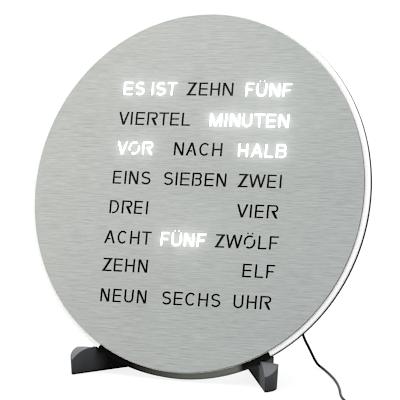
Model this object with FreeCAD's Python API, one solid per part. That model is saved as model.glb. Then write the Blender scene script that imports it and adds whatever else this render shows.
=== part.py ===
import FreeCAD, Part
import math
import os

V = FreeCAD.Vector
os.makedirs("parts", exist_ok=True)

# ---------------------------------------------------------------------------
# Word clock on a low splayed stand.  Millimetres, +Z up, front towards -Y,
# +X to the right as seen from the front.  Z = 0 is the surface it stands on.
# The clock leans back in its stand: its own frame has x to the right, y up in
# the plane of the dial and z out of the dial, with z = 0 on the metal front.
# ---------------------------------------------------------------------------
LEAN = 16.5             # lean of the dial back from the vertical, degrees
TURN = 1.4              # the dial sits turned this much in the stand, degrees
DIAL_Z = 151.3          # height of the dial's centre over the surface
DIAL_Y = 0.41           # place of the dial's centre along Y
LIFT = 30.0             # travel of the clock along its plane when lifted off

# front plate
PLATE_R = 150.3
PLATE_T = 1.0
PLATE_BEVEL = 0.15
FILM_T = 0.2
FILM_R = 150.0

# acrylic disc, wider than the metal
ACR_R = 154.4
ACR_T = 2.5
ACR_FILLET = 0.3
ACR_SKIN = 1.4          # acrylic left in front of the pocket
POCKET = (-86.0, 86.0, -101.0, 91.0)
POCKET_CR = 9.0

# back panel and rear housing
FLANGE_T = 3.3
BOX = (-90.0, 90.0, -105.0, 95.0)
BOX_CR = 18.0
BOX_WALL = 2.0
BACK_Z = -24.0

# lettering
CAP_H = 11.1
STEM = 1.7
BAR = 1.25
GAP = 1.05              # stencil bridges

# stand
FOOT_W = 13.7             # across the top of a foot
FOOT_W0 = 12.4            # across its underside
FOOT_L = 128.18
FOOT_CLEAR = 0.6        # underside of the feet over the surface
FOOT_TOP = 21.3
FOOT_SPLAY = 32.9       # degrees from the depth axis
FOOT_X = 87.2           # front inner corner
FOOT_Y = -56.45 + DIAL_Y

# power lead
CORD_D = 2.1

Z1 = -PLATE_T                    # back of the metal
Z2 = Z1 - FILM_T                 # back of the film, front of the acrylic
Z3 = Z2 - ACR_T                  # back of the acrylic
Z4 = Z3 - FLANGE_T               # back of the back panel
ZP = Z2 - ACR_SKIN               # floor of the pocket
BAFFLE = (-85.6, 85.6, -100.6, 90.6)
ZB0 = ZP - 0.2                   # front of the baffle
ZB1 = ZB0 - 8.5                  # back of the baffle
ZL0 = ZB1                        # front of the board
ZL1 = ZL0 - 1.6                  # back of the board

# ---------------------------------------------------------------------------
# frames
# ---------------------------------------------------------------------------
_t = math.radians(LEAN)
_p = math.radians(TURN)
UPV = V(0, math.sin(_t), math.cos(_t))
NRM = V(0, -math.cos(_t), math.sin(_t))
XD = V(1, 0, 0) * math.cos(_p) + UPV * math.sin(_p)
YD = V(1, 0, 0) * (-math.sin(_p)) + UPV * math.cos(_p)
CEN = V(0, DIAL_Y, DIAL_Z)

DIAL = FreeCAD.Matrix(XD.x, YD.x, NRM.x, CEN.x,
                      XD.y, YD.y, NRM.y, CEN.y,
                      XD.z, YD.z, NRM.z, CEN.z,
                      0, 0, 0, 1)
PLC = FreeCAD.Placement(DIAL)
# the same frame without the turn: the stand's own view of the dial plane
SEAT = FreeCAD.Placement(FreeCAD.Matrix(1, UPV.x, NRM.x, CEN.x,
                                        0, UPV.y, NRM.y, CEN.y,
                                        0, UPV.z, NRM.z, CEN.z,
                                        0, 0, 0, 1))

NODES = {}


def emit(name, shapes, placement=None):
    if not isinstance(shapes, (list, tuple)):
        shapes = [shapes]
    solids = []
    for s in shapes:
        solids += s.Solids
    out = []
    for s in solids:
        s = s.copy()
        if placement is not None:
            s.Placement = placement.multiply(s.Placement)
        out.append(s)
    for i, s in enumerate(out):
        if not s.isValid() or s.Volume <= 0:
            print("BAD", name, i, s.isValid(), s.Volume)
    shape = out[0] if len(out) == 1 else Part.Compound(out)
    NODES[name] = shape
    shape.exportStep("parts/%s.step" % name)
    return shape


def box(x0, x1, y0, y1, z0, z1):
    return Part.makeBox(x1 - x0, y1 - y0, z1 - z0, V(x0, y0, z0))


def cyl(r, z0, z1, x=0.0, y=0.0):
    return Part.makeCylinder(r, z1 - z0, V(x, y, z0), V(0, 0, 1))


def poly(pts, z0, z1):
    w = Part.makePolygon([V(p[0], p[1], z0) for p in pts] + [V(pts[0][0], pts[0][1], z0)])
    return Part.Face(w).extrude(V(0, 0, z1 - z0))


def rrect(b, r, z0, z1):
    """rounded rectangle prism"""
    x0, x1, y0, y1 = b
    s = box(x0, x1, y0, y1, z0, z1)
    if r > 0:
        es = [e for e in s.Edges if abs(e.Vertexes[0].X - e.Vertexes[1].X) < 1e-6
              and abs(e.Vertexes[0].Y - e.Vertexes[1].Y) < 1e-6]
        s = s.makeFillet(r, es)
    return s


# ---------------------------------------------------------------------------
# lettering: plain stencil capitals built from strokes, counters bridged
# ---------------------------------------------------------------------------
def arc_pts(cx, cy, rx, ry, a0, a1, n=None):
    if n is None:
        n = max(3, int(abs(a1 - a0) / 9.0))
    return [(cx + rx * math.cos(math.radians(a0 + (a1 - a0) * i / n)),
             cy + ry * math.sin(math.radians(a0 + (a1 - a0) * i / n))) for i in range(n + 1)]


def band(cx, cy, rx, ry, a0, a1, tx, ty):
    """elliptical band: outer radii rx, ry; widths tx at the sides, ty at top"""
    return arc_pts(cx, cy, rx, ry, a0, a1) + arc_pts(cx, cy, rx - tx, ry - ty, a1, a0)


def rect(x0, x1, y0, y1):
    return [(x0, y0), (x1, y0), (x1, y1), (x0, y1)]


def slant(xb, xt, w, y0, y1):
    """slanted stroke with level ends, width w measured level"""
    return [(xb, y0), (xb + w, y0), (xt + w, y1), (xt, y1)]


def glyph(ch, W):
    """strokes of one capital, W wide and CAP_H high, as point lists"""
    H, S, B, G = CAP_H, STEM, BAR, GAP
    mid = 0.5 * H
    if ch == "I":
        return [rect(0.5 * (W - S), 0.5 * (W + S), 0, H)]
    if ch == "E":
        return [rect(0, S, 0, H), rect(S - .1, W, H - B, H), rect(S - .1, W * 0.97, mid - B / 2 + .1, mid + B / 2 + .1),
                rect(S - .1, W, 0, B)]
    if ch == "F":
        return [rect(0, S, 0, H), rect(S - .1, W, H - B, H), rect(S - .1, W * 0.86, mid - B / 2 - .1, mid + B / 2 - .1)]
    if ch == "L":
        return [rect(0, S, 0, H), rect(S - .1, W, 0, B)]
    if ch == "T":
        return [rect(0, W, H - B, H), rect(0.5 * (W - S), 0.5 * (W + S), 0, H - B + .1)]
    if ch == "H":
        return [rect(0, S, 0, H), rect(W - S, W, 0, H), rect(S - .1, W - S + .1, mid - B / 2, mid + B / 2)]
    if ch == "N":
        d = 1.25 * S
        return [rect(0, S, 0, H), rect(W - S, W, 0, H), slant(W - d, 0, d, 0, H)]
    if ch == "M":
        d = 1.12 * S
        return [rect(0, S, 0, H), rect(W - S, W, 0, H), slant(0.5 * W - d / 2, 0.0, d, 0, H),
                slant(0.5 * W - d / 2, W - d, d, 0, H)]
    if ch == "V":
        d = 1.12 * S
        return [slant(0.5 * W - d / 2, 0, d, 0, H), slant(0.5 * W - d / 2, W - d, d, 0, H)]
    if ch == "W":
        d = 1.06 * S
        a = 0.26 * W
        c = 0.74 * W
        return [slant(a - d / 2, 0, d, 0, H), slant(a - d / 2, 0.5 * W - d / 2, d, 0, H),
                slant(c - d / 2, 0.5 * W - d / 2, d, 0, H), slant(c - d / 2, W - d, d, 0, H)]
    if ch == "Z":
        d = 1.45 * S
        return [rect(0.05 * W, W, H - B, H), rect(0, W, 0, B), slant(0, W - d, d, 0.0, H)]
    if ch == "A":
        d = 1.12 * S
        yb = 0.30 * H
        # bar joined to the left leg, bridge left at the right leg
        xl = (0.5 * W - d / 2) * (yb / H)
        xr = W - d - (W - d - (0.5 * W - d / 2)) * ((yb + B) / H)
        return [slant(0, 0.5 * W - d / 2, d, 0, H), slant(W - d, 0.5 * W - d / 2, d, 0, H),
                rect(xl + d * 0.5, xr - G * 0.75, yb, yb + B)]
    if ch == "C":
        return [band(W * 0.52, mid, W * 0.52, H / 2, 42, 318, S, B * 1.12)]
    if ch in ("O", "Ö"):
        out = [band(W / 2, mid, W / 2, H / 2, 57, 208, S, B * 1.12), band(W / 2, mid, W / 2, H / 2, 237, 388, S, B * 1.12)]
        if ch == "Ö":
            out += dots(W)
        return out
    if ch in ("U", "Ü"):
        ry = 0.34 * H
        out = [rect(0, S, ry - .05, H), rect(W - S, W, ry - .05, H), band(W / 2, ry, W / 2, ry, 180, 360, S, B * 1.12)]
        if ch == "Ü":
            out += dots(W)
        return out
    if ch == "D":
        rx = 0.56 * W
        return [rect(0, S, 0, H), rect(S - .1, W - rx + .05, H - B, H),
                band(W - rx, mid, rx, H / 2, 90, -90, S, B), rect(S + G, W - rx + .05, 0, B)]
    if ch == "R":
        r = 0.265 * H
        cy = H - r
        x1 = W - r * 1.05
        yb = H - 2 * r
        x2 = 0.40 * W
        return [rect(0, S, 0, H), rect(S - .1, x1 + .05, H - B, H), band(x1, cy, r * 1.05, r, 90, -90, S, B),
                rect(x2, x1 + .05, yb, yb + B),
                [(x2, yb + B), (x2, yb + B * 0.3), (W - 1.35 * S, 0), (W, 0), (x2 + 1.35 * S, yb + B)]]
    if ch == "B":
        r1 = 0.255 * H
        r2 = (H - 2 * r1 + B) / 2
        x1 = W - r1 * 1.02 - 0.02 * W
        x2 = W - r2 * 0.98
        xg = S + G
        ym = 2 * r2
        return [rect(0, S, 0, H), rect(S - .1, x1 + .05, H - B, H), band(x1, H - r1, r1 * 1.02, r1, 90, -90, S, B),
                rect(xg, x1 + .05, ym - B, ym), band(x2, r2, r2 * 0.98, r2, 90, -90, S, B),
                rect(xg, x2 + .05, 0, B)]
    if ch == "S":
        r1y = 0.272 * H
        r2y = (H - 2 * r1y + B * 1.1) / 2
        rx1 = 0.47 * W
        rx2 = 0.5 * W
        t = B * 1.1
        yj = 2 * r2y - t
        return [band(rx1 + .02 * W, H - r1y, rx1, r1y, 28, 232, S, t),
                band(W - rx2, r2y, rx2, r2y, 52, -152, S, t),
                [(rx1 + .02 * W - rx1 * 0.616, H - r1y - r1y * 0.788),
                 (rx1 + .02 * W - (rx1 - S) * 0.616, H - r1y - (r1y - t) * 0.788),
                 (W - rx2 + rx2 * 0.616, r2y + r2y * 0.788),
                 (W - rx2 + (rx2 - S) * 0.616, r2y + (r2y - t) * 0.788)]]
    raise ValueError(ch)


def dots(W):
    H = CAP_H
    r = 0.72
    c = 0.20 * W
    return [arc_pts(W / 2 - c, H + 1.55, r, r, 0, 360 - 30, 11), arc_pts(W / 2 + c, H + 1.55, r, r, 0, 360 - 30, 11)]


K = 174.58 / 1560.0      # one unit of the lettering grid, mm


def gx(u):
    return u * K - 87.29


RU = 150.5
ROW_Y = [0.5469, 0.3755, 0.2087, 0.0401, -0.1269, -0.2969, -0.4535, -0.6243]
# row, lit, word, left and right edge of each letter on the grid
WORDS = [
    (0, "word_es", "ES", [(109, 187), (208, 286)]),
    (0, "word_ist", "IST", [(341, 363), (382, 463), (473, 555)]),
    (0, "word_ten_min", "ZEHN", [(641, 721), (740, 812), (834, 912), (935, 1021)]),
    (0, "word_five_min", "FÜNF", [(1118, 1188), (1207, 1289), (1312, 1395), (1418, 1489)]),
    (1, "word_quarter", "VIERTEL", [(92, 181), (193, 211), (236, 311), (333, 419), (430, 512), (525, 599), (621, 691)]),
    (1, "word_minutes", "MINUTEN", [(849, 947), (971, 991), (1014, 1094), (1116, 1192), (1206, 1296), (1308, 1382), (1405, 1488)]),
    (2, "word_before", "VOR", [(100, 188), (197, 291), (312, 400)]),
    (2, "word_after", "NACH", [(579, 659), (678, 768), (786, 870), (893, 974)]),
    (2, "word_half", "HALB", [(1102, 1180), (1204, 1299), (1317, 1385), (1406, 1488)]),
    (3, "word_one", "EINS", [(91, 162), (188, 204), (227, 304), (328, 408)]),
    (3, "word_seven", "SIEBEN", [(515, 595), (614, 630), (653, 730), (750, 830), (853, 928), (949, 1029)]),
    (3, "word_two", "ZWEI", [(1124, 1204), (1210, 1345), (1358, 1430), (1456, 1474)]),
    (4, "word_three", "DREI", [(86, 165), (189, 275), (293, 362), (391, 407)]),
    (4, "word_four", "VIER", [(1133, 1225), (1240, 1256), (1281, 1351), (1376, 1466)]),
    (5, "word_eight", "ACHT", [(66, 158), (176, 256), (282, 360), (378, 458)]),
    (5, "word_five", "FÜNF", [(535, 604), (623, 704), (727, 808), (832, 906)]),
    (5, "word_twelve", "ZWÖLF", [(982, 1059), (1067, 1200), (1212, 1306), (1329, 1397), (1417, 1489)]),
    (6, "word_ten", "ZEHN", [(71, 152), (167, 240), (263, 342), (370, 449)]),
    (6, "word_eleven", "ELF", [(1223, 1295), (1322, 1391), (1412, 1479)]),
    (7, "word_nine", "NEUN", [(79, 155), (183, 253), (278, 355), (384, 462)]),
    (7, "word_six", "SECHS", [(591, 668), (688, 760), (781, 865), (888, 967), (990, 1068)]),
    (7, "word_hour", "UHR", [(1172, 1251), (1278, 1357), (1383, 1471)]),
]


def word_extent(w):
    row, nm, txt, spans = w
    y0 = (ROW_Y[row] - 0.0073) * RU
    return gx(spans[0][0]), gx(spans[-1][1]), y0, y0 + CAP_H


def letter_cutters():
    tools = []
    for row, nm, txt, spans in WORDS:
        y0 = (ROW_Y[row] - 0.0073) * RU
        for ch, (u0, u1) in zip(txt, spans):
            x0 = gx(u0)
            strokes = glyph(ch, (u1 - u0) * K)
            faces = []
            for st in strokes:
                pts = [V(x0 + a, y0 + b, 0) for a, b in st]
                faces.append(Part.Face(Part.makePolygon(pts + [pts[0]])))
            f = faces[0]
            if len(faces) > 1:
                f = faces[0].multiFuse(faces[1:])
                f = f.removeSplitter()
            for fc in f.Faces:
                n = fc.normalAt(0, 0)
                s = fc.extrude(V(0, 0, 4.0))
                s.translate(V(0, 0, -2.5))
                tools += s.Solids
    return tools


cutters = letter_cutters()
print("letter cutters", len(cutters))

# ---------------------------------------------------------------------------
# clock: front plate, film, acrylic
# ---------------------------------------------------------------------------
plate = cyl(PLATE_R, Z1, 0.0)
rim = [e for e in plate.Edges if len(e.Vertexes) == 1 and abs(e.Vertexes[0].Z) < 1e-6]
plate = plate.makeChamfer(PLATE_BEVEL, rim)
plate = plate.cut(cutters)
print("front plate solids", len(plate.Solids), "faces", len(plate.Faces), "valid", plate.isValid())
plate = max(plate.Solids, key=lambda s: s.Volume)
emit("front_plate", plate, PLC)

STUDS = [(142.0 * math.cos(math.radians(a)), 142.0 * math.sin(math.radians(a))) for a in (30, 90, 150, 210, 270, 330)]

WM = 1.3                 # window margin round a word


def window(w, grow=0.0):
    xa, xb, ya, yb = word_extent(w)
    top = yb + (3.0 if "Ü" in w[2] or "Ö" in w[2] else WM)
    return (xa - WM + grow, xb + WM - grow, ya - WM + grow, top - grow)


film = cyl(FILM_R, Z2, Z1)
film = film.cut([cyl(3.2, Z2 - 1, Z1 + 1, x, y) for x, y in STUDS])
film = film.cut([rrect(window(w), 0.8, Z2 - 1, Z1 + 1) for w in WORDS])
emit("mask_film", film, PLC)
LIT = ("word_es", "word_ist", "word_five_min", "word_minutes", "word_before", "word_half", "word_five")
emit("lit_windows", [rrect(window(w, 0.02), 0.8, Z2, Z1) for w in WORDS if w[1] in LIT], PLC)
emit("dark_windows", [rrect(window(w, 0.02), 0.8, Z2, Z1) for w in WORDS if w[1] not in LIT], PLC)

acr = cyl(ACR_R, Z3, Z2)
acr = acr.makeFillet(ACR_FILLET, [e for e in acr.Edges if len(e.Vertexes) == 1])
acr = acr.cut(rrect(POCKET, POCKET_CR, Z3 - 1, ZP))
acr = acr.cut([cyl(1.7, Z3 - 1, Z2 + 1, x, y) for x, y in STUDS])
emit("acrylic_disc", acr, PLC)

# studs welded on the back of the metal, washers and cap nuts behind the back panel
studs, washers, nuts = [], [], []
for x, y in STUDS:
    s = cyl(1.5, Z4 - 3.6, Z1, x, y).fuse(cyl(2.6, Z1 - FILM_T + .02, Z1, x, y))
    studs.append(s)
    washers.append(cyl(3.5, Z4 - 0.5, Z4, x, y).cut(cyl(1.6, Z4 - 2, Z4 + 1, x, y)))
    hexa = [(x + 3.18 * math.cos(math.radians(60 * i)), y + 3.18 * math.sin(math.radians(60 * i))) for i in range(6)]
    z = Z4 - 0.5
    n = poly(hexa, z - 2.4, z)
    dome = Part.makeSphere(2.55, V(x, y, z - 2.4)).common(box(x - 4, x + 4, y - 4, y + 4, z - 6, z - 2.39))
    n = n.fuse(dome).cut(cyl(1.52, Z4 - 3.7, z + 1, x, y))
    nuts.append(n)
emit("plate_studs", studs, PLC)
emit("stud_washers", washers, PLC)
emit("stud_nuts", nuts, PLC)

# ---------------------------------------------------------------------------
# baffle, board and what it carries
# ---------------------------------------------------------------------------
baf = rrect(BAFFLE, POCKET_CR - 0.4, ZB1, ZB0)
MARG = 1.9
wins = []
for w in WORDS:
    xa, xb, ya, yb = word_extent(w)
    top = yb + (2.6 if "Ü" in w[2] or "Ö" in w[2] else MARG)
    wins.append((xa - MARG, xb + MARG, ya - MARG, top))
# ES and IST share one chamber row with a wall between them
cut = [rrect(b, 1.2, ZB1 - 1, ZB0 + 1) for b in wins]
BSC = [(-80.5, 86.0), (0.0, 84.5), (80.5, 86.0), (-80.5, -99.0 + 2.6), (0.0, -98.0 + 1.6), (80.5, -99.0 + 2.6)]
baf = baf.cut(cut)
baf = baf.cut([cyl(0.9, ZB1 - 1, ZB1 + 5.5, x, y) for x, y in BSC])
HSC = [(-80.0, 74.0), (80.0, 74.0), (-80.0, -76.5), (80.0, -76.5)]
baf = baf.cut([cyl(1.4, ZB1 - 1, ZB1 + 6.5, x, y) for x, y in HSC])
emit("word_baffle", baf, PLC)

BOARD = (-84.5, 84.5, -99.6, 89.6)
board = rrect(BOARD, 7.0, ZL1, ZL0)
board = board.cut([cyl(1.15, ZL1 - 1, ZL0 + 1, x, y) for x, y in BSC])
board = board.cut([cyl(1.65, ZL1 - 1, ZL0 + 1, x, y) for x, y in HSC])
emit("led_board", board, PLC)

scr = []
for x, y in BSC:
    s = cyl(0.88, ZL1 - 0.1, ZL0 + 5.0, x, y).fuse(cyl(1.9, ZL1 - 1.3, ZL1, x, y))
    s = s.cut(box(x - 1.3, x + 1.3, y - .25, y + .25, ZL1 - 2, ZL1 - 0.7)).cut(box(x - .25, x + .25, y - 1.3, y + 1.3, ZL1 - 2, ZL1 - 0.7))
    scr.append(s)
emit("board_screws", scr, PLC)

leds = []
for (row, nm, txt, spans), b in zip(WORDS, wins):
    n = max(2, len(txt))
    L = b[1] - b[0]
    yc = 0.5 * (b[2] + b[3])
    for i in range(n):
        xc = b[0] + L * (i + 0.5) / n
        body = box(xc - 1.75, xc + 1.75, yc - 1.4, yc + 1.4, ZL0, ZL0 + 0.8)
        body = body.cut(Part.makeCone(1.0, 1.2, 0.35, V(xc, yc, ZL0 + 0.5), V(0, 0, 1)))
        leds.append(body)
emit("word_leds", leds, PLC)
print("leds", len(leds))


def chip(xc, yc, lx, ly, h, n, pitch, side_x=True):
    """moulded package with gull-wing legs down two sides"""
    z = ZL1
    b = box(xc - lx / 2, xc + lx / 2, yc - ly / 2, yc + ly / 2, z - h, z - 0.1)
    legs = []
    for i in range(n):
        o = (i - (n - 1) / 2.0) * pitch
        if side_x:
            for sg in (-1, 1):
                x0, x1 = sorted((xc + sg * (lx / 2 - .05), xc + sg * (lx / 2 + 1.0)))
                legs.append(box(x0, x1, yc + o - .2, yc + o + .2, z - 0.25, z))
                x0, x1 = sorted((xc + sg * (lx / 2 - .05), xc + sg * (lx / 2 + .3)))
                legs.append(box(x0, x1, yc + o - .2, yc + o + .2, z - h * 0.6, z - 0.2))
        else:
            for sg in (-1, 1):
                y0, y1 = sorted((yc + sg * (ly / 2 - .05), yc + sg * (ly / 2 + 1.0)))
                legs.append(box(xc + o - .2, xc + o + .2, y0, y1, z - 0.25, z))
                y0, y1 = sorted((yc + sg * (ly / 2 - .05), yc + sg * (ly / 2 + .3)))
                legs.append(box(xc + o - .2, xc + o + .2, y0, y1, z - h * 0.6, z - 0.2))
    return b.multiFuse(legs)


emit("driver_chips", [chip(x, y, 4.0, 10.0, 1.75, 8, 1.27) for x, y in
                      ((-62, 60), (-62, 20), (62, 60), (62, 20), (-20, 62), (20, 62))], PLC)
mcu = chip(8, -12, 10, 10, 1.6, 11, 0.8).fuse(chip(8, -12, 10, 10, 1.6, 11, 0.8, False))
emit("control_chip", mcu, PLC)
cr = rrect((-14.5, -3.5, -34.2, -29.8), 2.15, ZL1 - 3.6, ZL1 - 0.4).fuse(rrect((-15.1, -2.9, -34.8, -29.2), 2.6, ZL1 - 0.5, ZL1))
emit("clock_crystal", cr, PLC)

# coin cell in its holder, reached through the door in the back
CX, CY = -50.0, -58.0
hold = cyl(12.6, ZL1 - 5.2, ZL1, CX, CY).cut(cyl(10.2, ZL1 - 6, ZL1 - 1.5, CX, CY))
hold = hold.cut(box(CX - 5, CX + 5, CY - 14, CY - 7, ZL1 - 6, ZL1 - 1.5))
emit("cell_holder", hold, PLC)
cell = cyl(10.0, ZL1 - 4.75, ZL1 - 1.55, CX, CY).fuse(cyl(9.3, ZL1 - 1.55, ZL1 - 1.5, CX, CY))
cell = cell.makeFillet(0.3, [e for e in cell.Edges if len(e.Vertexes) == 1 and abs(e.Vertexes[0].Z - (ZL1 - 4.75)) < 1e-6])
emit("coin_cell", cell, PLC)

# DC inlet standing on the board, its mouth in the back wall
JX, JY = 68.0, -70.0
JR = 4.6
jack = cyl(JR, BACK_Z + 0.3, ZL1, JX, JY).fuse(box(JX - 5.2, JX + 5.2, JY - 5.0, JY + 5.0, ZL1 - 6.0, ZL1))
jack = jack.cut(cyl(2.85, BACK_Z - 1, ZL1 - 0.6, JX, JY))
pin = cyl(1.05, BACK_Z + 1.6, ZL1 - 0.5, JX, JY)
pin = pin.makeFillet(0.5, [e for e in pin.Edges if len(e.Vertexes) == 1 and abs(e.Vertexes[0].Z - (BACK_Z + 1.6)) < 1e-6])
jack = jack.fuse(pin)
emit("dc_jack", jack, PLC)

# three setting buttons and their switches
BTN = [("button_hour", 40.0, 55.0), ("button_minute", 40.0, 38.0), ("button_dim", 40.0, 21.0)]
sw = []
for nm, x, y in BTN:
    s = rrect((x - 3, x + 3, y - 3, y + 3), 0.5, ZL1 - 3.4, ZL1).fuse(cyl(1.7, ZL1 - 4.4, ZL1 - 3.3, x, y))
    sw.append(s)
emit("tact_switches", sw, PLC)
ZPL = ZL1 - 4.4
for nm, x, y in BTN:
    cap = cyl(3.5, BACK_Z - 2.2, -22.0 + 0.5, x, y)
    cap = cap.makeFillet(0.6, [e for e in cap.Edges if len(e.Vertexes) == 1 and abs(e.Vertexes[0].Z - (BACK_Z - 2.2)) < 1e-6])
    dish = Part.makeSphere(9.0, V(x, y, BACK_Z - 2.2 - 8.55))
    cap = cap.cut(dish)
    cap = cap.fuse(cyl(4.6, -21.7, -20.9, x, y)).fuse(cyl(1.6, -21.0, ZPL - 1.3, x, y))
    emit(nm, cap, PLC)

# ---------------------------------------------------------------------------
# back panel as wide as the acrylic, and the housing screwed on behind it
# ---------------------------------------------------------------------------
INNER = (BOX[0] + BOX_WALL, BOX[1] - BOX_WALL, BOX[2] + BOX_WALL, BOX[3] - BOX_WALL)
panel = cyl(ACR_R, Z4, Z3)
panel = panel.makeFillet(0.25, [e for e in panel.Edges if len(e.Vertexes) == 1 and abs(e.Vertexes[0].Z - Z4) < 1e-6])
panel = panel.cut(rrect(INNER, BOX_CR - BOX_WALL, Z4 - 1, Z3 + 1))
panel = panel.cut([cyl(1.85, Z4 - 2, Z3 + 1, x, y) for x, y in STUDS])
emit("back_panel", panel, PLC)

cov = rrect(BOX, BOX_CR, BACK_Z, Z4)
eb = [e for e in cov.Edges if all(abs(v.Z - BACK_Z) < 1e-6 for v in e.Vertexes)]
cov = cov.makeFillet(1.5, eb)
cov = cov.cut(rrect(INNER, BOX_CR - BOX_WALL, BACK_Z + BOX_WALL, Z4 + 1))
posts = []
for x, y in HSC:
    posts.append(cyl(4.2, BACK_Z + BOX_WALL - .1, BACK_Z + 6.0, x, y))
    posts.append(cyl(3.2, BACK_Z + BOX_WALL - .1, ZL1 - 0.05, x, y))
posts.append(cyl(3.0, BACK_Z + BOX_WALL - .1, ZL1 - 0.15, 0.0, 30.0))
for nm, x, y in BTN:
    posts.append(cyl(6.2, BACK_Z + BOX_WALL - .1, BACK_Z + BOX_WALL + 1.2, x, y).cut(cyl(4.95, BACK_Z, BACK_Z + 6, x, y)))
cov = cov.fuse(posts)
cov = cov.cut([cyl(1.7, BACK_Z - 1, ZL1 + 1, x, y) for x, y in HSC])
cov = cov.cut([cyl(3.2, BACK_Z - 1, BACK_Z + 4.0, x, y) for x, y in HSC])
cov = cov.cut([cyl(3.8, BACK_Z - 1, BACK_Z + BOX_WALL + .01, x, y) for nm, x, y in BTN])
cov = cov.cut(cyl(JR + 0.15, BACK_Z - 1, BACK_Z + BOX_WALL + 1, JX, JY))
# keyholes for hanging on two screws
KEY = [(-60.0, 68.0), (60.0 - 0.0, 68.0)]
KEY_HEAD = 10.0
KEY_SLOT = 5.0
for x, y in KEY:
    cov = cov.cut(cyl(KEY_HEAD / 2, BACK_Z - 1, BACK_Z + 3, x, y))
    cov = cov.cut(box(x - KEY_SLOT / 2, x + KEY_SLOT / 2, y, y + 8.0, BACK_Z - 1, BACK_Z + 3))
    cov = cov.cut(cyl(KEY_SLOT / 2, BACK_Z - 1, BACK_Z + 3, x, y + 8.0))
# cell hatch with its two rails
HX, HY = 12.0, 11.0      # half opening
cov = cov.cut(rrect((CX - HX, CX + HX, CY - HY, CY + HY), 2.0, BACK_Z - 1, BACK_Z + 3))
DOOR_T = 1.5
dz1 = BACK_Z - 0.3
dz0 = dz1 - DOOR_T
DHX, DHY = 15.0, 14.0
for sg in (-1, 1):
    ya, yb = sorted((CY + sg * (DHY + 0.3), CY + sg * (DHY + 2.6)))
    rail = box(CX - DHX, CX + DHX, ya, yb, dz0 - 1.5, BACK_Z + .1)
    ya, yb = sorted((CY + sg * (DHY - 1.4), CY + sg * (DHY + 2.6)))
    rail = rail.fuse(box(CX - DHX, CX + DHX, ya, yb, dz0 - 1.5, dz0 - 0.3))
    cov = cov.fuse(rail)
stop = box(CX - DHX - 2.2, CX - DHX - 0.3, CY - DHY - 2.6, CY + DHY + 2.6, dz0 - 1.5, BACK_Z + .1)
cov = cov.fuse(stop)
# slots that let the air out, low in the side walls
vents = []
for i in range(7):
    vents.append(box(-31.0 + 10 * i, -28.6 + 10 * i, BOX[2] - 1, BOX[2] + 3, BACK_Z + 4.5, BACK_Z + 11.0))
    vents.append(box(-31.0 + 10 * i, -28.6 + 10 * i, BOX[3] - 3, BOX[3] + 1, BACK_Z + 4.5, BACK_Z + 11.0))
cov = cov.cut(vents)
cov = cov.removeSplitter()
print("rear housing solids", len(cov.Solids), cov.isValid())
emit("rear_housing", cov, PLC)
hs = []
for x, y in HSC:
    z = BACK_Z + 2.0
    q = cyl(2.85, z, BACK_Z + 4.0, x, y).fuse(cyl(1.38, BACK_Z + 3.9, ZL0 + 5.5, x, y))
    q = q.cut(box(x - 1.8, x + 1.8, y - .35, y + .35, z - 1, z + 1.1)).cut(box(x - .35, x + .35, y - 1.8, y + 1.8, z - 1, z + 1.1))
    hs.append(q)
emit("housing_screws", hs, PLC)

door = rrect((CX - DHX, CX + DHX, CY - DHY, CY + DHY), 0.8, dz0, dz1)
door = door.fuse([box(CX + 3.0 + 2.2 * i, CX + 4.0 + 2.2 * i, CY - 8, CY + 8, dz0 - 0.7, dz0 + .05) for i in range(4)])
emit("battery_door", door, PLC)

pads = []
for x, y in ((-80.0, -92.0), (82.0 - 2, -92.0), (-80.0, 83.0), (80.0, 83.0)):
    p = cyl(5.0, BACK_Z - 2.4, BACK_Z, x, y)
    p = p.makeFillet(0.8, [e for e in p.Edges if len(e.Vertexes) == 1 and abs(e.Vertexes[0].Z - (BACK_Z - 2.4)) < 1e-6])
    pads.append(p)
emit("wall_pads", pads, PLC)

# black rubber strip round the lowest sixth of the rim: one leg on the front of
# the acrylic, one over the edges of the acrylic and the back panel
STRIP_A0, STRIP_A1 = 240.4, 301.2
STRIP_T = 0.7
STRIP_R0, STRIP_R1 = 150.85, ACR_R + 1.1
STRIP_RI = ACR_R + 0.02
_c = 0.2
prof = [(STRIP_R0, Z2), (STRIP_R0, Z2 + STRIP_T - _c), (STRIP_R0 + _c, Z2 + STRIP_T), (STRIP_R1 - _c, Z2 + STRIP_T),
        (STRIP_R1, Z2 + STRIP_T - _c), (STRIP_R1, Z4 + 0.3), (STRIP_RI, Z4 + 0.3), (STRIP_RI, Z2)]
pts = [V(r, 0, z) for r, z in prof]
strip = Part.Face(Part.makePolygon(pts + [pts[0]])).revolve(V(0, 0, 0), V(0, 0, 1), STRIP_A1 - STRIP_A0)
strip.rotate(V(0, 0, 0), V(0, 0, 1), STRIP_A0)
emit("grip_strip", strip, PLC)

# ---------------------------------------------------------------------------
# stand: two splayed feet with seats and back rests, bridge, screws, pads
# ---------------------------------------------------------------------------
_s = math.radians(FOOT_SPLAY)
AW = V(math.cos(_s), math.sin(_s), 0)       # outwards across the right foot
AT = V(-math.sin(_s), math.cos(_s), 0)      # backwards along the right foot
FOOT = FreeCAD.Placement(FreeCAD.Matrix(AW.x, AT.x, 0, FOOT_X,
                                        AW.y, AT.y, 0, FOOT_Y,
                                        AW.z, AT.z, 1, 0,
                                        0, 0, 0, 1))
TAIL_H = 9.0
REST_R = 152.5           # radius of the back rests just behind the disc
SEAT_R = ACR_R + 1.5


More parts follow.
